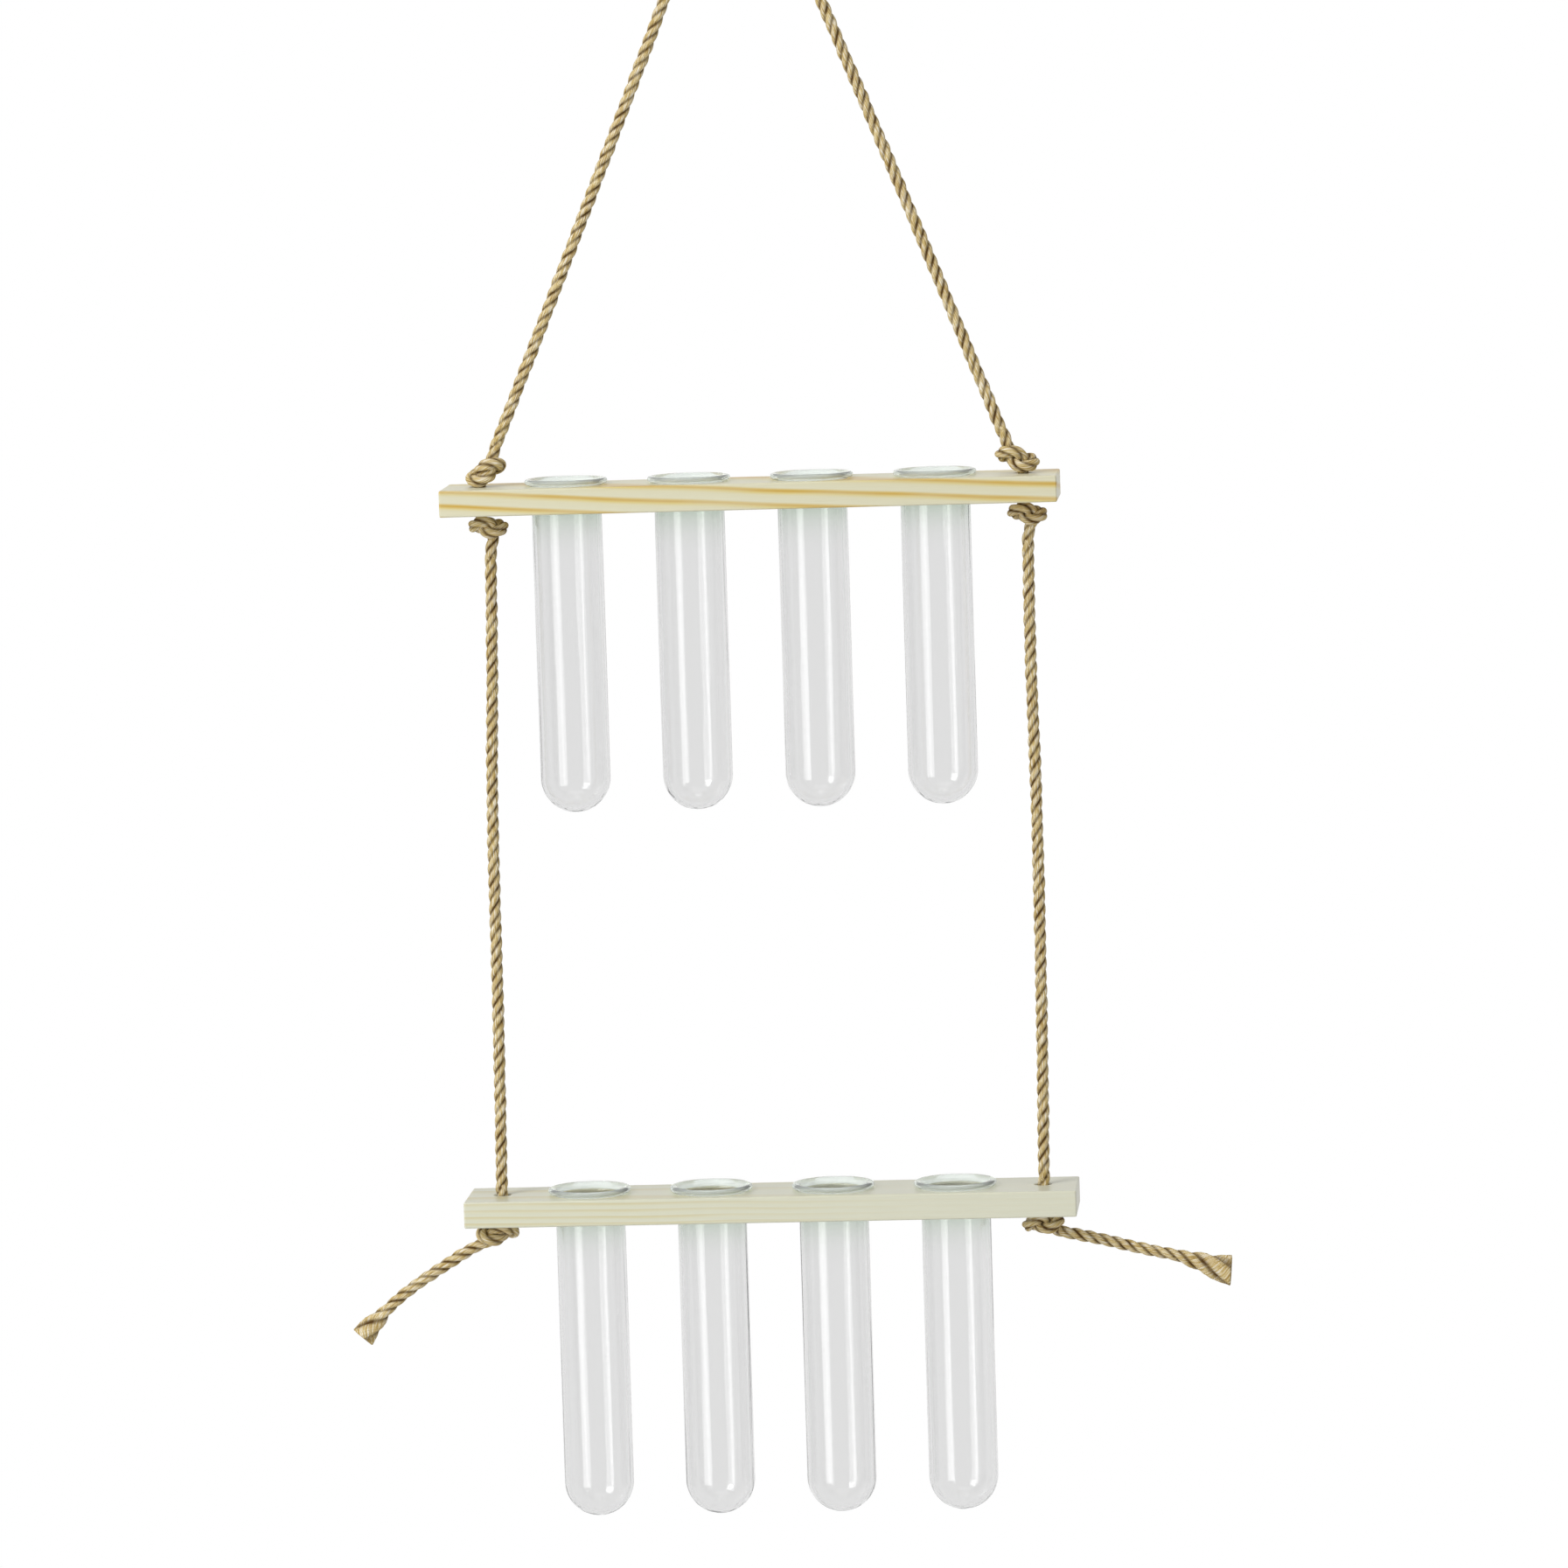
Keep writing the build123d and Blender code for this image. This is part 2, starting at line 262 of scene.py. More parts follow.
turns = np.linspace(0, 2 * np.pi, ROPE_SIDES, endpoint=False)
from_strand = np.mod(turns, 2 * np.pi / 3) - np.pi / 3
beside_strand = STRAND_OUT * np.sin(from_strand)
outline = STRAND_OUT * np.cos(from_strand) + np.sqrt((STRAND / 2) ** 2 - beside_strand**2)
groove_depth = 1 - (outline - outline.min()) / (outline.max() - outline.min())


def carried_frames(line, facing):
    """Two directions across the line at each point that turn as little as they can: facing is carried from
    point to point and kept square to the line."""
    way = np.gradient(line, axis=0)
    way /= np.linalg.norm(way, axis=1, keepdims=True)
    across = np.empty_like(line)
    for i, ahead in enumerate(way):
        facing = facing - ahead * (facing @ ahead)
        facing = facing / np.linalg.norm(facing)
        across[i] = facing
    return way, across, np.cross(way, across)


def swelling(run, seed):
    """How much each strand is swollen at each point: three slow waves for each of the three strands."""
    random = np.random.default_rng(seed)
    waves = 2 * np.pi / random.uniform(*SWELL_WAVES, (3, 3, 1))
    wave = np.sin(run * waves + random.uniform(0, 2 * np.pi, (3, 3, 1))).sum(axis=1)
    return 1 + SWELL * wave


def rope(name, facing, seed):
    """The rope along a named line. At length s the outline is turned by s / LAY of a full turn to the right
    and swollen strand by strand, and each end is rounded off by rings that shrink as a ball does. Returns
    the piece, and which way its first strand and the rope itself point at its foot."""
    line, run = lines[name]
    way, across, square = carried_frames(line, facing)
    swell = swelling(run, seed)[np.floor(turns / (2 * np.pi / 3)).astype(int)].T
    swell = 1 + (swell - 1) * (1 - groove_depth)
    radius = outline * swell
    angle = turns + 2 * np.pi * run[:, None] / LAY
    rings = line[:, None] + radius[..., None] * (
        np.cos(angle)[..., None] * across[:, None] + np.sin(angle)[..., None] * square[:, None]
    )
    dome = np.linspace(0, np.pi / 2, CAP_ROWS)[1:]
    shrink, reach = np.cos(dome)[:, None, None], CAP_REACH * np.sin(dome)[:, None, None]
    head = line[0] + (rings[0] - line[0]) * shrink - way[0] * reach
    foot = line[-1] + (rings[-1] - line[-1]) * shrink + way[-1] * reach
    grid = np.concatenate([head[::-1], rings, foot])
    beyond = np.arange(1, CAP_ROWS) * ROPE_STEP
    along = np.concatenate([-beyond[::-1], run, run[-1] + beyond]) / LAY
    groove = np.broadcast_to(groove_depth, grid.shape[:2])
    piece = closed_skin(name, grid, along, groove=groove)
    last = np.cos(angle[-1, 0]) * across[-1] + np.sin(angle[-1, 0]) * square[-1]
    print(name, len(piece.data.polygons), "faces")
    return piece, last, way[-1]


# %% Lay the rope from the hook down both sides
# Each stretch starts with its strands where the stretch before it left them.
ropes = {}
FRONT = np.array([0.0, -1.0, 0.0])
ropes["hanger_rope"], facing_right, _ = rope("hanger_rope", FRONT, 1)
tail_frames = {}  # where each tail ends, which way it points there and where its first strand is
for side, facing, seed in (("left", FRONT, 10), ("right", facing_right, 20)):
    for number, stretch in enumerate(("upper", "middle", "lower")):
        name = f"{side}_{stretch}_rope"
        ropes[name], facing, way = rope(name, facing, seed + number)
    tail_frames[side] = (lines[name][0][-1], way, facing)

# %% [markdown]
# ## Cut ends that have opened
#
# Where a hemp cord is cut, its strands loosen and spread into a flat fan. The strands still wind on, so the
# rope's own outline is carried a little further, stretched ever wider in one direction and cut off flat.

# %% Open the cut ends
END_ROWS = 30
END_SIDES = 72
END_TUCK = 0.002  # how far back inside the rope it starts,
END_START = 0.97  # and how thick it is there beside the rope
END_BEVEL = 0.0002  # the cut's edge is broken by this much,
END_CUT = 0.93  # and the cut itself is this share of the end
YARNS = 18
YARN_RELIEF = 0.05
UNTWIST = 0.4  # share of the twist that is lost by the end


def opened_end(name, side, length, width, droop, slant, power):
    """The rope's outline carried on past its end: stretched across the tail to a width by a power of the
    share of the length, moved down by droop with the same power, ribbed by its yarns, and cut off along a
    line that leans by slant."""
    start, way, facing = tail_frames[side]
    flat = np.cross(FRONT, way)
    flat *= -np.sign(flat[2]) / np.linalg.norm(flat)
    deep = np.cross(way, flat)
    turn = np.linspace(0, 2 * np.pi, END_SIDES, endpoint=False)
    lobes = np.interp(turn, np.r_[turns, 2 * np.pi], np.r_[outline, outline[0]])
    run = np.linspace(-END_TUCK, length, END_ROWS)[:, None]
    share = (run / length).clip(0, 1)
    opened = share**power
    radius = lobes * (END_START + YARN_RELIEF * share * np.cos(YARNS * turn))
    start_angle = np.arctan2(facing @ deep, facing @ flat)
    angle = start_angle + turn + 2 * np.pi * run / LAY * (1 - UNTWIST * share)
    across = radius * np.cos(angle) * (1 + (width / CORD - 1) * opened)
    rings = (
        start
        + (run + slant * share * across)[..., None] * way
        + (across + droop * opened)[..., None] * flat
        + (radius * np.sin(angle))[..., None] * deep
    )
    head, foot = rings[0].mean(axis=0), rings[-1].mean(axis=0)
    bevel = way * END_BEVEL
    edge = foot + (rings[-1] - foot) * END_CUT + bevel
    poles = [np.broadcast_to(point, edge.shape) for point in (head, foot + bevel)]
    grid = np.concatenate([[poles[0]], rings, [edge, poles[1]]])
    along = np.concatenate([run[:1], run, run[-1:], run[-1:]]).ravel() / LAY
    depth = np.interp(turn, np.r_[turns, 2 * np.pi], np.r_[groove_depth, groove_depth[0]])
    piece = closed_skin(name, grid, along, groove=np.broadcast_to(depth, grid.shape[:2]))
    print(name, len(piece.data.polygons), "faces")
    return piece


opened_ends = {
    "left": opened_end(
        "left_opened_end", "left", length=0.0125, width=0.0096, droop=0.0006, slant=-0.1, power=0.75
    ),
    "right": opened_end(
        "right_opened_end", "right", length=0.0210, width=0.0120, droop=0.0024, slant=0.1, power=1.2
    ),
}

# %% [markdown]
# ## Drawn glass tubes
#
# A test tube is a length of drawn glass tube. One end was closed in a flame into a half ball with the same
# wall as the tube, and the other was rolled outwards to a bead so that it hangs in a hole. It is a lathe
# shape: one profile, from the middle of the outside of the bottom up to the rim and down inside again, spun
# about the axis.

# %% Spin the tubes
TUBE_RADIUS = 0.0125
GLASS = 0.0013
LIP_FLARE = 0.00135
LIP = 0.002
TUBE_HANG = 0.1177
SEAT = 0.0003
TUBE_SIDES = 96


def arc(centre, radius, first, last, count):
    """Points (distance from the axis, height) on an arc, by its angles in degrees."""
    angle = np.radians(np.linspace(first, last, count))
    return np.array(centre) + radius * np.stack([np.cos(angle), np.sin(angle)], axis=1)


def tube_profile():
    """Outer half ball, outer wall, curl under the lip, round rim, curl inside the lip, and the inner half
    ball."""
    bore = TUBE_RADIUS - GLASS
    ball = TUBE_RADIUS - TUBE_HANG
    lip = TUBE_RADIUS + LIP_FLARE
    inner_flare = lip - bore
    return np.concatenate([
        arc((0, ball), TUBE_RADIUS, -90, 0, 34),
        arc((lip, SEAT - LIP_FLARE), LIP_FLARE, 180, 90, 10),
        arc((lip, SEAT + LIP / 2), LIP / 2, -90, 90, 14)[1:-1],
        arc((lip, SEAT + LIP - inner_flare), inner_flare, 90, 180, 14),
        arc((0, ball), bore, 0, -90, 34),
    ])


def glass_tube(name, x, board_top):
    """The profile spun about an upright axis: x and y are the distance from the axis times the cosine and
    the sine of the turn. The faces are those of the outside, then of the inside from the profile's highest
    point on, and of the rim, which is all that is above the board: materials 0, 1 and 2. The faces of the
    two poles come last in the mesh."""
    profile = tube_profile()
    turn = np.linspace(0, 2 * np.pi, TUBE_SIDES, endpoint=False)
    away, height = profile[:, 0, None], profile[:, 1, None] + 0 * turn
    grid = np.stack([x + away * np.cos(turn), away * np.sin(turn), board_top + height], axis=-1)
    run = np.r_[0, np.cumsum(np.linalg.norm(np.diff(profile, axis=0), axis=1))]
    tube = closed_skin(name, grid, run)
    faces = tube.data.polygons
    middles = np.empty(3 * len(faces))
    faces.foreach_get("center", middles)
    wall_rows = np.arange(len(faces) - 2 * TUBE_SIDES) // TUBE_SIDES
    row = np.r_[wall_rows, np.zeros(TUBE_SIDES), np.full(TUBE_SIDES, len(profile))]
    inside = row >= profile[1:, 1].argmax()
    part = np.where(middles[2::3] > board_top, 2, inside)
    faces.foreach_set("material_index", part.astype(np.int32))
    return tube


tubes = {}
for tier in ("upper", "lower"):
    for number in range(1, 5):
        node = f"{tier}_tube_{number}"
        low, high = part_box(node)
        rest_height = high[2] - SEAT - LIP
        tubes[node] = glass_tube(f"{node}_glass", (low[0] + high[0]) / 2, rest_height)
print(len(tubes), "tubes,", len(tubes["upper_tube_1"].data.polygons), "faces each")

# %% [markdown]
# ## Finishes
#
# Each finish starts from the real stuff. Colours are written as sRGB hex values, as a paint program shows
# them, and one function turns them into the linear numbers that a shader adds up.


# %% Colours and nodes
def linear(code):
    """An sRGB hex colour as linear red, green, blue and alpha."""
    channels = np.array([int(code[i : i + 2], 16) for i in (1, 3, 5)]) / 255
    straight = np.where(channels <= 0.04045, channels / 12.92, ((channels + 0.055) / 1.055) ** 2.4)
    return (*straight.tolist(), 1.0)


def feed(tree, node, inputs):
    """Gives a node its inputs: each takes a number, a colour or another node's output."""
    for key, value in inputs.items():
        if isinstance(value, bpy.types.NodeSocket):
            tree.links.new(value, node.inputs[key])
        else:
            node.inputs[key].default_value = value


def add_node(tree, kind, inputs=(), **settings):
    """A new node with its settings and its inputs."""
    made = tree.nodes.new(kind)
    for key, value in settings.items():
        setattr(made, key, value)
    feed(tree, made, dict(inputs))
    return made


def new_finish(name):
    """A plain material, its nodes and its shader."""
    finish = bpy.data.materials.new(name)
    finish.use_nodes = True
    return finish, finish.node_tree, finish.node_tree.nodes["Principled BSDF"]


print("half grey is", round(linear("#808080")[0], 3), "of the light")

# %% [markdown]
# A pattern is built in small steps: some arithmetic on a place or on noise, a new range, a mix of colours,
# and bumps. Each step adds one node and gives back its output, so that a finish reads like a formula.


# %% Steps of a pattern
def calculate(tree, operation, *values):
    """Arithmetic on up to three values, each a number or another node's output."""
    return add_node(tree, "ShaderNodeMath", dict(enumerate(values)), operation=operation).outputs[0]


def remap(tree, value, low, high, to_low=0.0, to_high=1.0, **settings):
    """The range from low to high stretched to another one, and held at its ends."""
    ends = {0: value, 1: low, 2: high, 3: to_low, 4: to_high}
    return add_node(tree, "ShaderNodeMapRange", ends, **settings).outputs[0]


def blend(tree, share, first, second):
    """Two colours mixed: a share of 0 gives the first and a share of 1 the second."""
    return add_node(tree, "ShaderNodeMix", {0: share, 6: first, 7: second}, data_type="RGBA").outputs[2]


def ramp(tree, value, stops):
    """The colour at a value between 0 and 1, by stops of a place and a colour."""
    made = add_node(tree, "ShaderNodeValToRGB", {0: value})
    elements = made.color_ramp.elements
    while len(elements) < len(stops):
        elements.new(0.5)
    for element, (place, colour) in zip(elements, stops):
        element.position = place
        element.color = linear(colour)
    return made.outputs[0]


def roughen(tree, shader, pattern, strength, depth):
    """Bumps as high as depth where the pattern is 1. They bend the light and leave the shape alone."""
    relief = add_node(tree, "ShaderNodeBump", {"Height": pattern, "Strength": strength, "Distance": depth})
    feed(tree, shader, {"Normal": relief.outputs[0]})


# %% [markdown]
# ### Twisted hemp
#
# Hemp is a bast fibre: straw-gold where light falls on a strand, and streaked along the rope because its
# fibres lie nearly in line with it. The shade between the strands is painted into the colour as brown, and
# this painted shade is deeper in some places than in others, by a slow noise. Hemp has no gloss, only a
# soft sheen.

# %% Hemp finish
# Real fibres are a tenth as wide. They are drawn as coarse as they need to be to show in the render.
FIBRE_WIDTH = 0.00042
FIBRE_LENGTH = 0.0045
BLOTCH = 0.0045

hemp, tree, shader = new_finish("hemp_cord_three_strand_twisted")
uv = add_node(tree, "ShaderNodeUVMap", uv_map="UVMap")
# U counts the turns of the strands, and V is the share of the way round the outline that turns with them. So
# their sum is the angle round the rope, and a fibre that keeps to one angle lies along the rope.
turned, way_round, _ = add_node(tree, "ShaderNodeSeparateXYZ", {0: uv.outputs[0]}).outputs
angle = calculate(tree, "ADD", turned, way_round)
fibre_place = add_node(tree, "ShaderNodeCombineXYZ", {
    0: calculate(tree, "MULTIPLY", turned, LAY / FIBRE_LENGTH),
    1: calculate(tree, "MULTIPLY", angle, np.pi * CORD / FIBRE_WIDTH),
})
fibres = add_node(tree, "ShaderNodeTexNoise", {
    "Vector": fibre_place.outputs[0], "Scale": 1.0, "Detail": 3.0, "Roughness": 0.6,
}).outputs[0]
streaks = ramp(tree, fibres, [(0.3, "#93733A"), (0.48, "#D5BE80"), (0.66, "#FDF8EA")])

place = add_node(tree, "ShaderNodeTexCoord").outputs["Object"]
blotch = add_node(tree, "ShaderNodeTexNoise", {
    "Vector": place, "Scale": 1 / BLOTCH, "Detail": 2.0,
}).outputs[0]
aged = blend(tree, remap(tree, blotch, 0.35, 0.7, 0.0, 0.3), streaks, linear("#AE8B4C"))
# Painted shade: in the grooves between the strands the colour turns dark brown, deeper where the slow noise
# is high.
groove = add_node(tree, "ShaderNodeAttribute", attribute_name="groove").outputs["Fac"]
painted_shade_depth = remap(tree, blotch, 0.36, 0.6, 0.55, 1.0)
painted_groove_shade = remap(tree, groove, 0.08, 0.9, 0.0, painted_shade_depth, interpolation_type="SMOOTHSTEP")
feed(tree, shader, {
    "Base Color": blend(tree, painted_groove_shade, aged, linear("#4F3406")),
    "Roughness": 0.72,
    "Specular IOR Level": 0.2,
    "Sheen Weight": 0.2,
    "Sheen Roughness": 0.4,
    "Sheen Tint": linear("#E3C88A"),
})
roughen(tree, shader, fibres, strength=0.5, depth=0.00025)
print("hemp:", len(tree.nodes), "nodes")

# %% [markdown]
# ### Planed pine
#
# Pine sawn with the grain shows its growth rings on the edge of the board as long, gently sloping lines:
# wide pale spring wood, then a narrow golden line of summer wood that stops sharply. The rings are flat
# sheets a few millimetres apart, nearly level and a little wavy, so a ring number is a height in the
# board, tilted along its length, divided by the spacing; its fraction says spring or summer. The planed
# face has a dull shine at a flat angle and fine fibre marks along X.

# %% Pine finish
# Sizes of the noise along x, y and z in mm. Real fibre marks are a tenth as wide, too fine to show.
RING_WAVES = (70, 18, 14)
PATCHES = (40, 9, 4)
FIBRE_MARKS = (9, 0.4, 0.4)
FAINT = 0.12  # share of a line's colour that is left where it is faint


def stretched_noise(tree, place, sizes, **inputs):
    """Noise with lumps of these sizes along x, y and z, in the unit of place."""
    scaled = add_node(tree, "ShaderNodeMapping", {0: place, 3: [1 / size for size in sizes]})
    settings = {"Vector": scaled.outputs[0], "Scale": 1.0, **inputs}
    return add_node(tree, "ShaderNodeTexNoise", settings).outputs[0]


def planed_pine(name, middle, spacing, fan, tilt, bow, shift, wave, stops, fade, grey):
    """Pine whose ring number is (height + tilt * x + bow * y + a slow wave) / (spacing + fan * x) + shift, in
    mm from the board's middle. stops colour a ring from spring to summer. fade is the x, in mm, where the
    lines are faint and where they are full, and grey is the colour that the fibre marks lean to."""
    finish, tree, shader = new_finish(name)
    place = add_node(tree, "ShaderNodeTexCoord").outputs["Object"]
    in_mm = add_node(tree, "ShaderNodeVectorMath", {0: place, "Scale": 1000.0}, operation="SCALE")
    centred = add_node(tree, "ShaderNodeVectorMath", {
        0: in_mm.outputs[0], 1: (0.0, 0.0, middle),
    }, operation="SUBTRACT").outputs[0]
    x, y, height = add_node(tree, "ShaderNodeSeparateXYZ", {0: centred}).outputs

    wobble = stretched_noise(tree, centred, RING_WAVES, Detail=1.5)
    sheet = height
    for value, factor in ((x, tilt), (y, bow), (wobble, wave)):
        sheet = calculate(tree, "MULTIPLY_ADD", value, factor, sheet)
    gap = calculate(tree, "MULTIPLY_ADD", x, fan, spacing)
    ring = calculate(tree, "ADD", calculate(tree, "DIVIDE", sheet, gap), shift)
    wood = ramp(tree, calculate(tree, "FRACT", ring), stops)

    strong = remap(tree, x, *fade, FAINT, 1.0, interpolation_type="SMOOTHSTEP")
    patches = remap(tree, stretched_noise(tree, centred, PATCHES, Detail=1.0), 0.3, 0.62, 0.65, 1.0)
    body = blend(tree, calculate(tree, "MULTIPLY", strong, patches), linear(stops[0][1]), wood)

    fibres = stretched_noise(tree, centred, FIBRE_MARKS, Detail=3.0, Roughness=0.65)
    worn = remap(tree, fibres, 0.3, 0.75, 0.0, 0.2)
    feed(tree, shader, {"Base Color": blend(tree, worn, body, linear(grey)), "Roughness": 0.36})
    roughen(tree, shader, fibres, strength=0.25, depth=0.0002)
    print(name, len(tree.nodes), "nodes")
    return finish


# %% Dress the boards
upper_pine = planed_pine(
    "pine_planed_golden_rings",
    middle=-230.75, spacing=5.2, fan=0.0042, tilt=0.0588, bow=0.10, shift=0.454, wave=1.6,
    stops=[
        (0.0, "#DCD9BE"), (0.45, "#DCD6B6"), (0.63, "#D9C67C"),
        (0.77, "#C89E30"), (0.86, "#D0B056"), (0.97, "#DCD5B2"),
    ],
    fade=(400.0, 300.0),  # both lie past the board's end, so the lines are full all along
    grey="#CCC4A0",
)
lower_pine = planed_pine(
    "pine_planed_pale_rings",
    middle=-486.75, spacing=2.3, fan=0.0, tilt=0.006, bow=0.14, shift=0.1, wave=2.0,
    stops=[
        (0.0, "#DCDCC8"), (0.45, "#DBDAC2"), (0.7, "#D7D1AC"),
        (0.85, "#D4CA9F"), (0.95, "#D8D4B6"), (1.0, "#DCDCC8"),
    ],
    fade=(60.0, -50.0),
    grey="#C9C6AC",
)
for node, finish in (("upper_board", upper_pine), ("lower_board", lower_pine)):
    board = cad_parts[node]
    board.data.materials.clear()
    board.data.materials.append(finish)

# %% [markdown]
# ### Drawn glass and its rolled rim
#
# Laboratory glass is clear and smooth, but not perfect: the tube was drawn from a melt, so its wall has
# faint ripples that run its whole length and make a mirrored lamp's edge uneven. The grey cast sits on the
# outside, which has been handled, so that a wall seen edge-on, where light never gets to the inside, is as
# grey as the middle. The rolled rim has short ripples and fold lines that scatter light, so it looks milky
# white beside the wall: only part of its light is let through.

# %% Glass finishes
RIPPLE_DEPTH = 0.00012


def drawn_glass(name, tint, roughness, index, clear, across, along):
    """Glass by its tint, its roughness, its index and the share of the light that it lets through. Its
    ripples are noise of this size across and along the tube."""
    finish, tree, shader = new_finish(name)
    place = add_node(tree, "ShaderNodeTexCoord").outputs["Object"]
    ripples = stretched_noise(tree, place, (across, across, along), Detail=2.0)
    roughen(tree, shader, ripples, strength=1.0, depth=RIPPLE_DEPTH)
    feed(tree, shader, {
        "Base Color": linear(tint), "Roughness": roughness, "IOR": index, "Transmission Weight": clear,
    })
    print(name, len(tree.nodes), "nodes")
    return finish


outer_glass = drawn_glass(
    "soda_glass_drawn_outside_hazed", "#DDDDDD", roughness=0.0, index=1.5, clear=1.0, across=0.003, along=0.16
)
inner_glass = drawn_glass(
    "soda_glass_drawn_inside_bright", "#FFFFFF", roughness=0.0, index=1.5, clear=1.0, across=0.004, along=0.16
)
# The rim bends light less than glass does. A true index leads most of its light down inside the wall, where
# the renderer gives it up as black, and the eye sees a bright rim there.
rim_glass = drawn_glass(
    "soda_glass_rolled_rim", "#F7FCF8", roughness=0.05, index=1.13, clear=0.66, across=0.0025, along=0.0015
)

# %% [markdown]
# ### The painted shade under a board
#
# Just under a board the glass is given a painted shade, a greenish grey like the pine above it, ever deeper
# over the last 22 mm. How far up the outside a point lies is read off the UV, which is the way along the
# profile in metres. Inside the board's hole the glass stays clear, so that warm wood shows through the
# tube's mouth.

# %% Shade the glass below the boards
SHADE_LENGTH = 0.022
SHADE_POWER = 3.0

low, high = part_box("upper_board")
under_board = TUBE_RADIUS * (np.pi / 2 - 1) + TUBE_HANG - (high[2] - low[2])
tree = outer_glass.node_tree
shader = tree.nodes["Principled BSDF"]
clear_tint = shader.inputs["Base Color"].default_value[:]
uv = add_node(tree, "ShaderNodeUVMap", uv_map="UVMap")
way_up = add_node(tree, "ShaderNodeSeparateXYZ", {0: uv.outputs[0]}).outputs[0]
# Painted shade: the outside's tint turns to a greenish grey over the last 22 mm under the board.
painted_shade_ramp = remap(tree, way_up, under_board - SHADE_LENGTH, under_board)
below = calculate(tree, "LESS_THAN", way_up, under_board)
shade = calculate(tree, "MULTIPLY", calculate(tree, "POWER", painted_shade_ramp, SHADE_POWER), below)
feed(tree, shader, {"Base Color": blend(tree, shade, clear_tint, linear("#B4C1B2"))})
print("shade ends", round(under_board * 1000, 1), "mm up the outside")

# %% [markdown]
# ## On their bodies
#
# Each piece rides on the body that carries it, so that it moves with the joints, and it takes the place of
# the CAD solids that it dresses. The cord's whole length is printed.

# %% Put each piece on its body
for node, tube in tubes.items():
    for finish in (outer_glass, inner_glass, rim_glass):
        tube.data.materials.append(finish)
    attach(tube, node)
    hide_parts(node)

bodies = {"hanger": "hanger", "upper": "upper_tier", "middle": "lower_cords", "lower": "lower_tier"}
for name, piece in ropes.items():
    piece.data.materials.append(hemp)
    stretch = name.split("_")[-2]
    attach(piece, bodies[stretch])
for piece in opened_ends.values():
    piece.data.materials.append(hemp)
    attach(piece, "lower_tier")

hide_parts("hook_bend", "left_hanger_cord", "right_hanger_cord")
for side in ("left", "right"):
    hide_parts(f"{side}_top_knot", f"{side}_under_knot")
    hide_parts(f"{side}_middle_cord")
    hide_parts(f"{side}_lower_knot", f"{side}_tail")
print(len(tubes), "tubes,", len(ropes), "ropes and", len(opened_ends), "opened ends placed")

# %% Print the cord's whole length
for name, piece in ropes.items():
    line, run = lines[name]
print("cord in all", round(sum(run[-1] for _, run in lines.values()), 3), "m")

# %% [markdown]
# ## Studio
#
# The photograph has soft light from the front left and above, and a pure white ground. Two tall soft boxes
# stand in front, one at each side, because a glass cylinder shows each of them as one upright streak. A
# third one, high at the left, lights the left side of each strand more than the right, and a fourth one
# overhead brightens the tops of the boards. The ground is white to the camera, in gloss and in glass, and a
# plain soft grey to everything that it lights. The floor is white in gloss and in glass, and keeps its
# shadows for the camera.

# %% Lamps
VASE_MIDDLE = (0.0, 0.0, -0.36)


def soft_box(name, place, width, height, watts):
    """An area lamp at a place, turned so that it shines at the vase's middle, with its height upright. Its
    Z axis points back from the vase's middle, and its X axis is level."""
    lamp = bpy.data.lights.new(name, "AREA")
    lamp.shape = "RECTANGLE"
    lamp.size, lamp.size_y, lamp.energy = width, height, watts
    box = bpy.data.objects.new(name, lamp)
    bpy.context.scene.collection.objects.link(box)
    back = np.array(place) - VASE_MIDDLE
    back /= np.linalg.norm(back)
    side = np.cross((0, 0, 1), back)
    side /= np.linalg.norm(side)
    matrix = np.eye(4)
    matrix[:3] = np.stack([side, np.cross(back, side), back, place], axis=1)
    box.matrix_world = matrix.T.tolist()
    print(name, watts, "W")


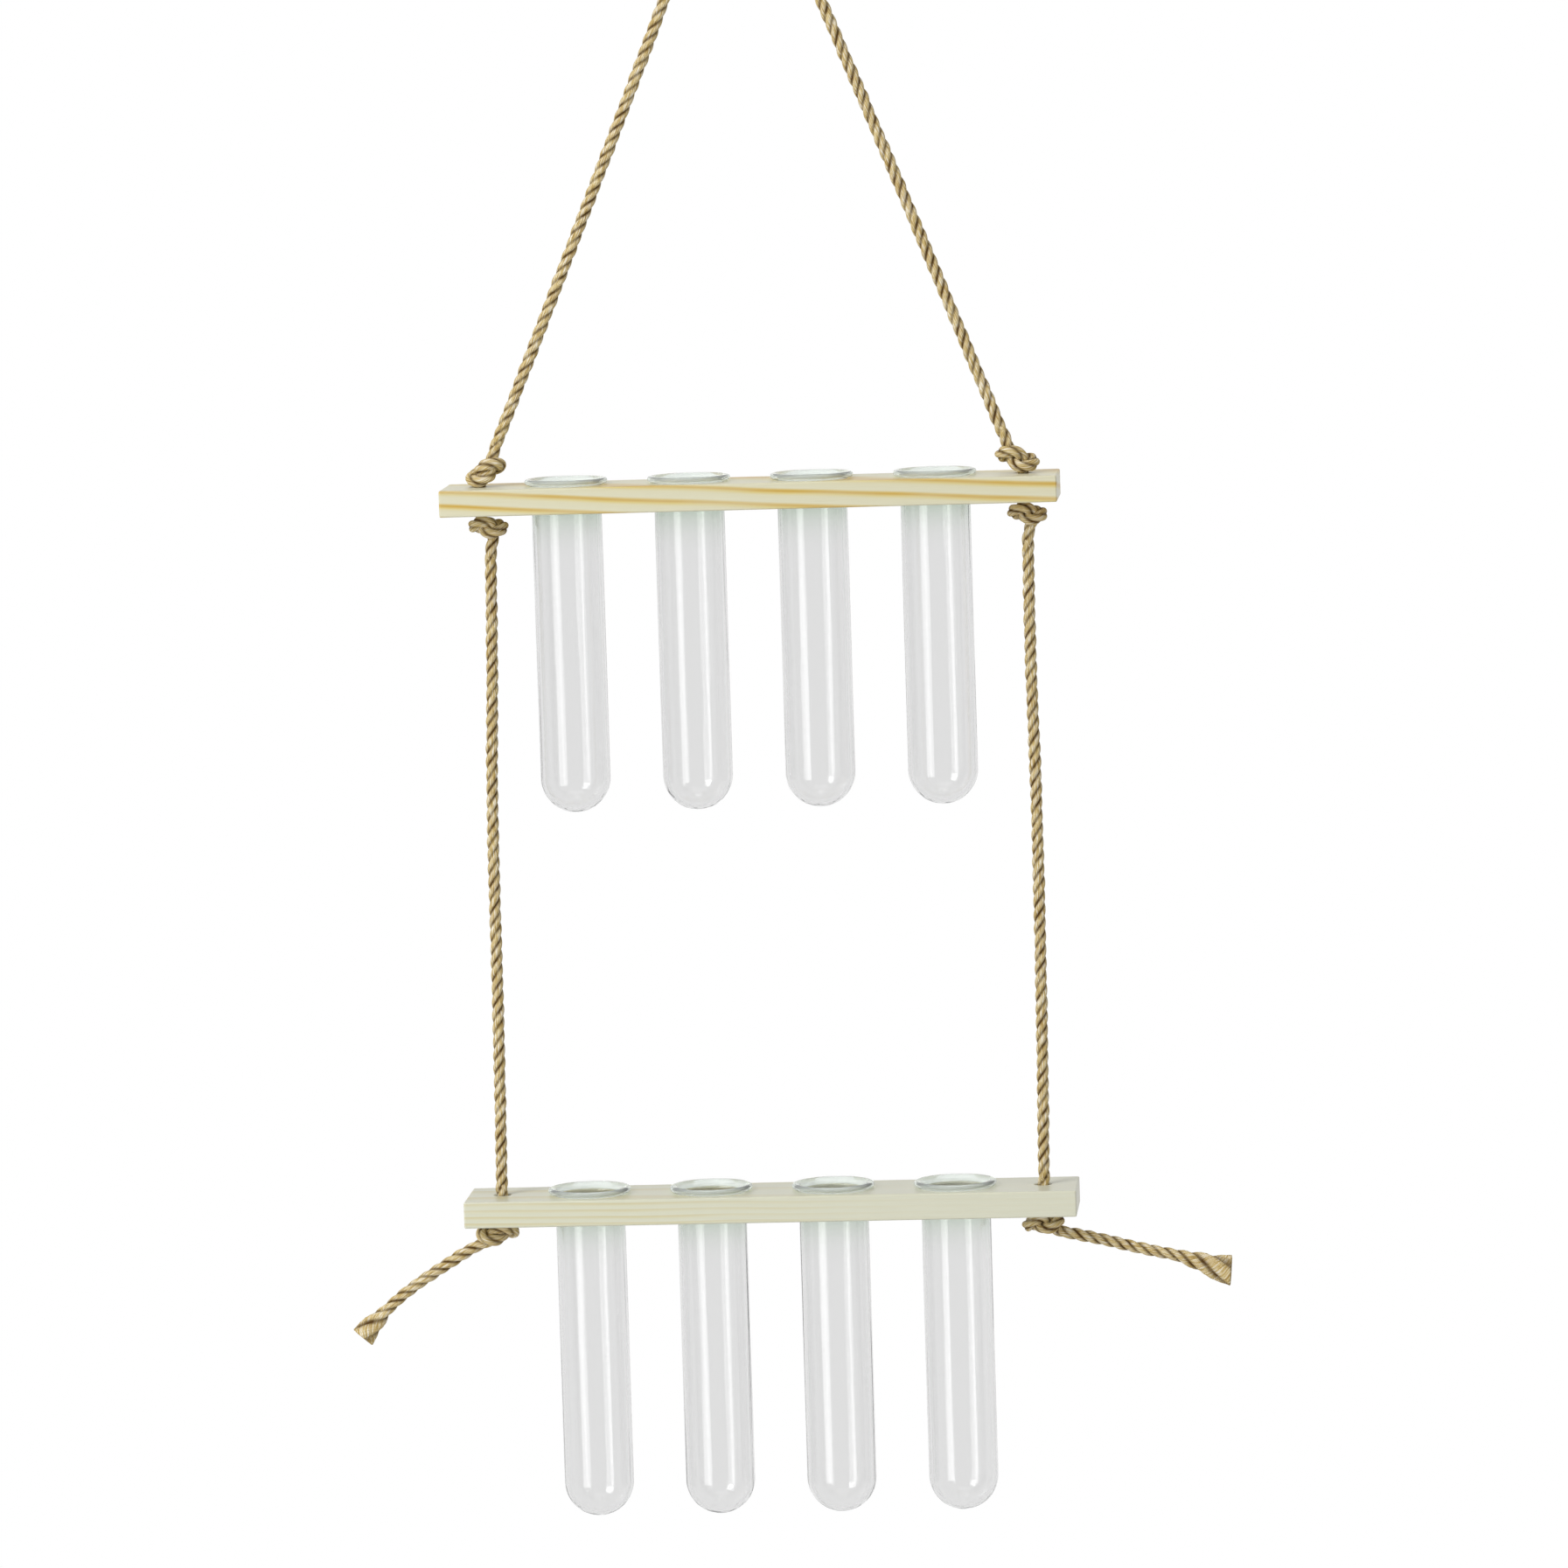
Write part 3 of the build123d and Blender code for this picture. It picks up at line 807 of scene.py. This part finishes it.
soft_box("left_soft_box", (-1.0, -1.25, -0.2), 0.8, 1.6, 9.5)
soft_box("right_soft_box", (1.2, -1.0, -0.2), 0.32, 1.6, 2.8)
soft_box("high_left_soft_box", (-1.3, -1.4, 1.0), 0.9, 0.9, 18.0)
soft_box("overhead_soft_box", (0.0, -0.5, 1.5), 1.6, 1.2, 6.5)


# %% Ground and floor
def white_when_seen(tree):
    """Two outputs: 1 on rays from the camera, and 1 on rays in gloss and in glass. Both are 0 on rays that
    only bring light."""
    ray = add_node(tree, "ShaderNodeLightPath").outputs
    in_gloss = calculate(tree, "MAXIMUM", ray["Is Glossy Ray"], ray["Is Transmission Ray"])
    return ray["Is Camera Ray"], in_gloss


world = bpy.data.worlds.new("studio")
bpy.context.scene.world = world
world.use_nodes = True
tree = world.node_tree
tree.nodes.clear()
by_camera, in_gloss = white_when_seen(tree)
seen = calculate(tree, "MAXIMUM", by_camera, in_gloss)
soft_grey = add_node(tree, "ShaderNodeBackground", {"Color": linear("#FFFFFF"), "Strength": 0.34})
white = add_node(tree, "ShaderNodeBackground", {"Color": linear("#FFFFFF"), "Strength": 1.0})
either = add_node(tree, "ShaderNodeMixShader", {0: seen, 1: soft_grey.outputs[0], 2: white.outputs[0]})
add_node(tree, "ShaderNodeOutputWorld", {"Surface": either.outputs[0]})

FLOOR = -1.1
FLOOR_HALF = 1.6
corners = [(FLOOR_HALF * x, FLOOR_HALF * y, FLOOR) for x, y in ((-1, -1), (1, -1), (1, 1), (-1, 1))]
floor_mesh = bpy.data.meshes.new("floor")
floor_mesh.from_pydata(corners, [], [(0, 1, 2, 3)])
floor = bpy.data.objects.new("floor", floor_mesh)
bpy.context.scene.collection.objects.link(floor)
paper, tree, shader = new_finish("studio_paper_white")
feed(tree, shader, {"Base Color": linear("#E9E9E7"), "Roughness": 0.9})
_, in_gloss = white_when_seen(tree)
glow = add_node(tree, "ShaderNodeEmission", {"Color": linear("#FFFFFF"), "Strength": 1.0})
either = add_node(tree, "ShaderNodeMixShader", {0: in_gloss, 1: shader.outputs[0], 2: glow.outputs[0]})
feed(tree, tree.nodes["Material Output"], {"Surface": either.outputs[0]})
floor.data.materials.append(paper)
bpy.context.scene.view_settings.view_transform = "Standard"
print("floor", FLOOR, "m, world", len(world.node_tree.nodes), "nodes")
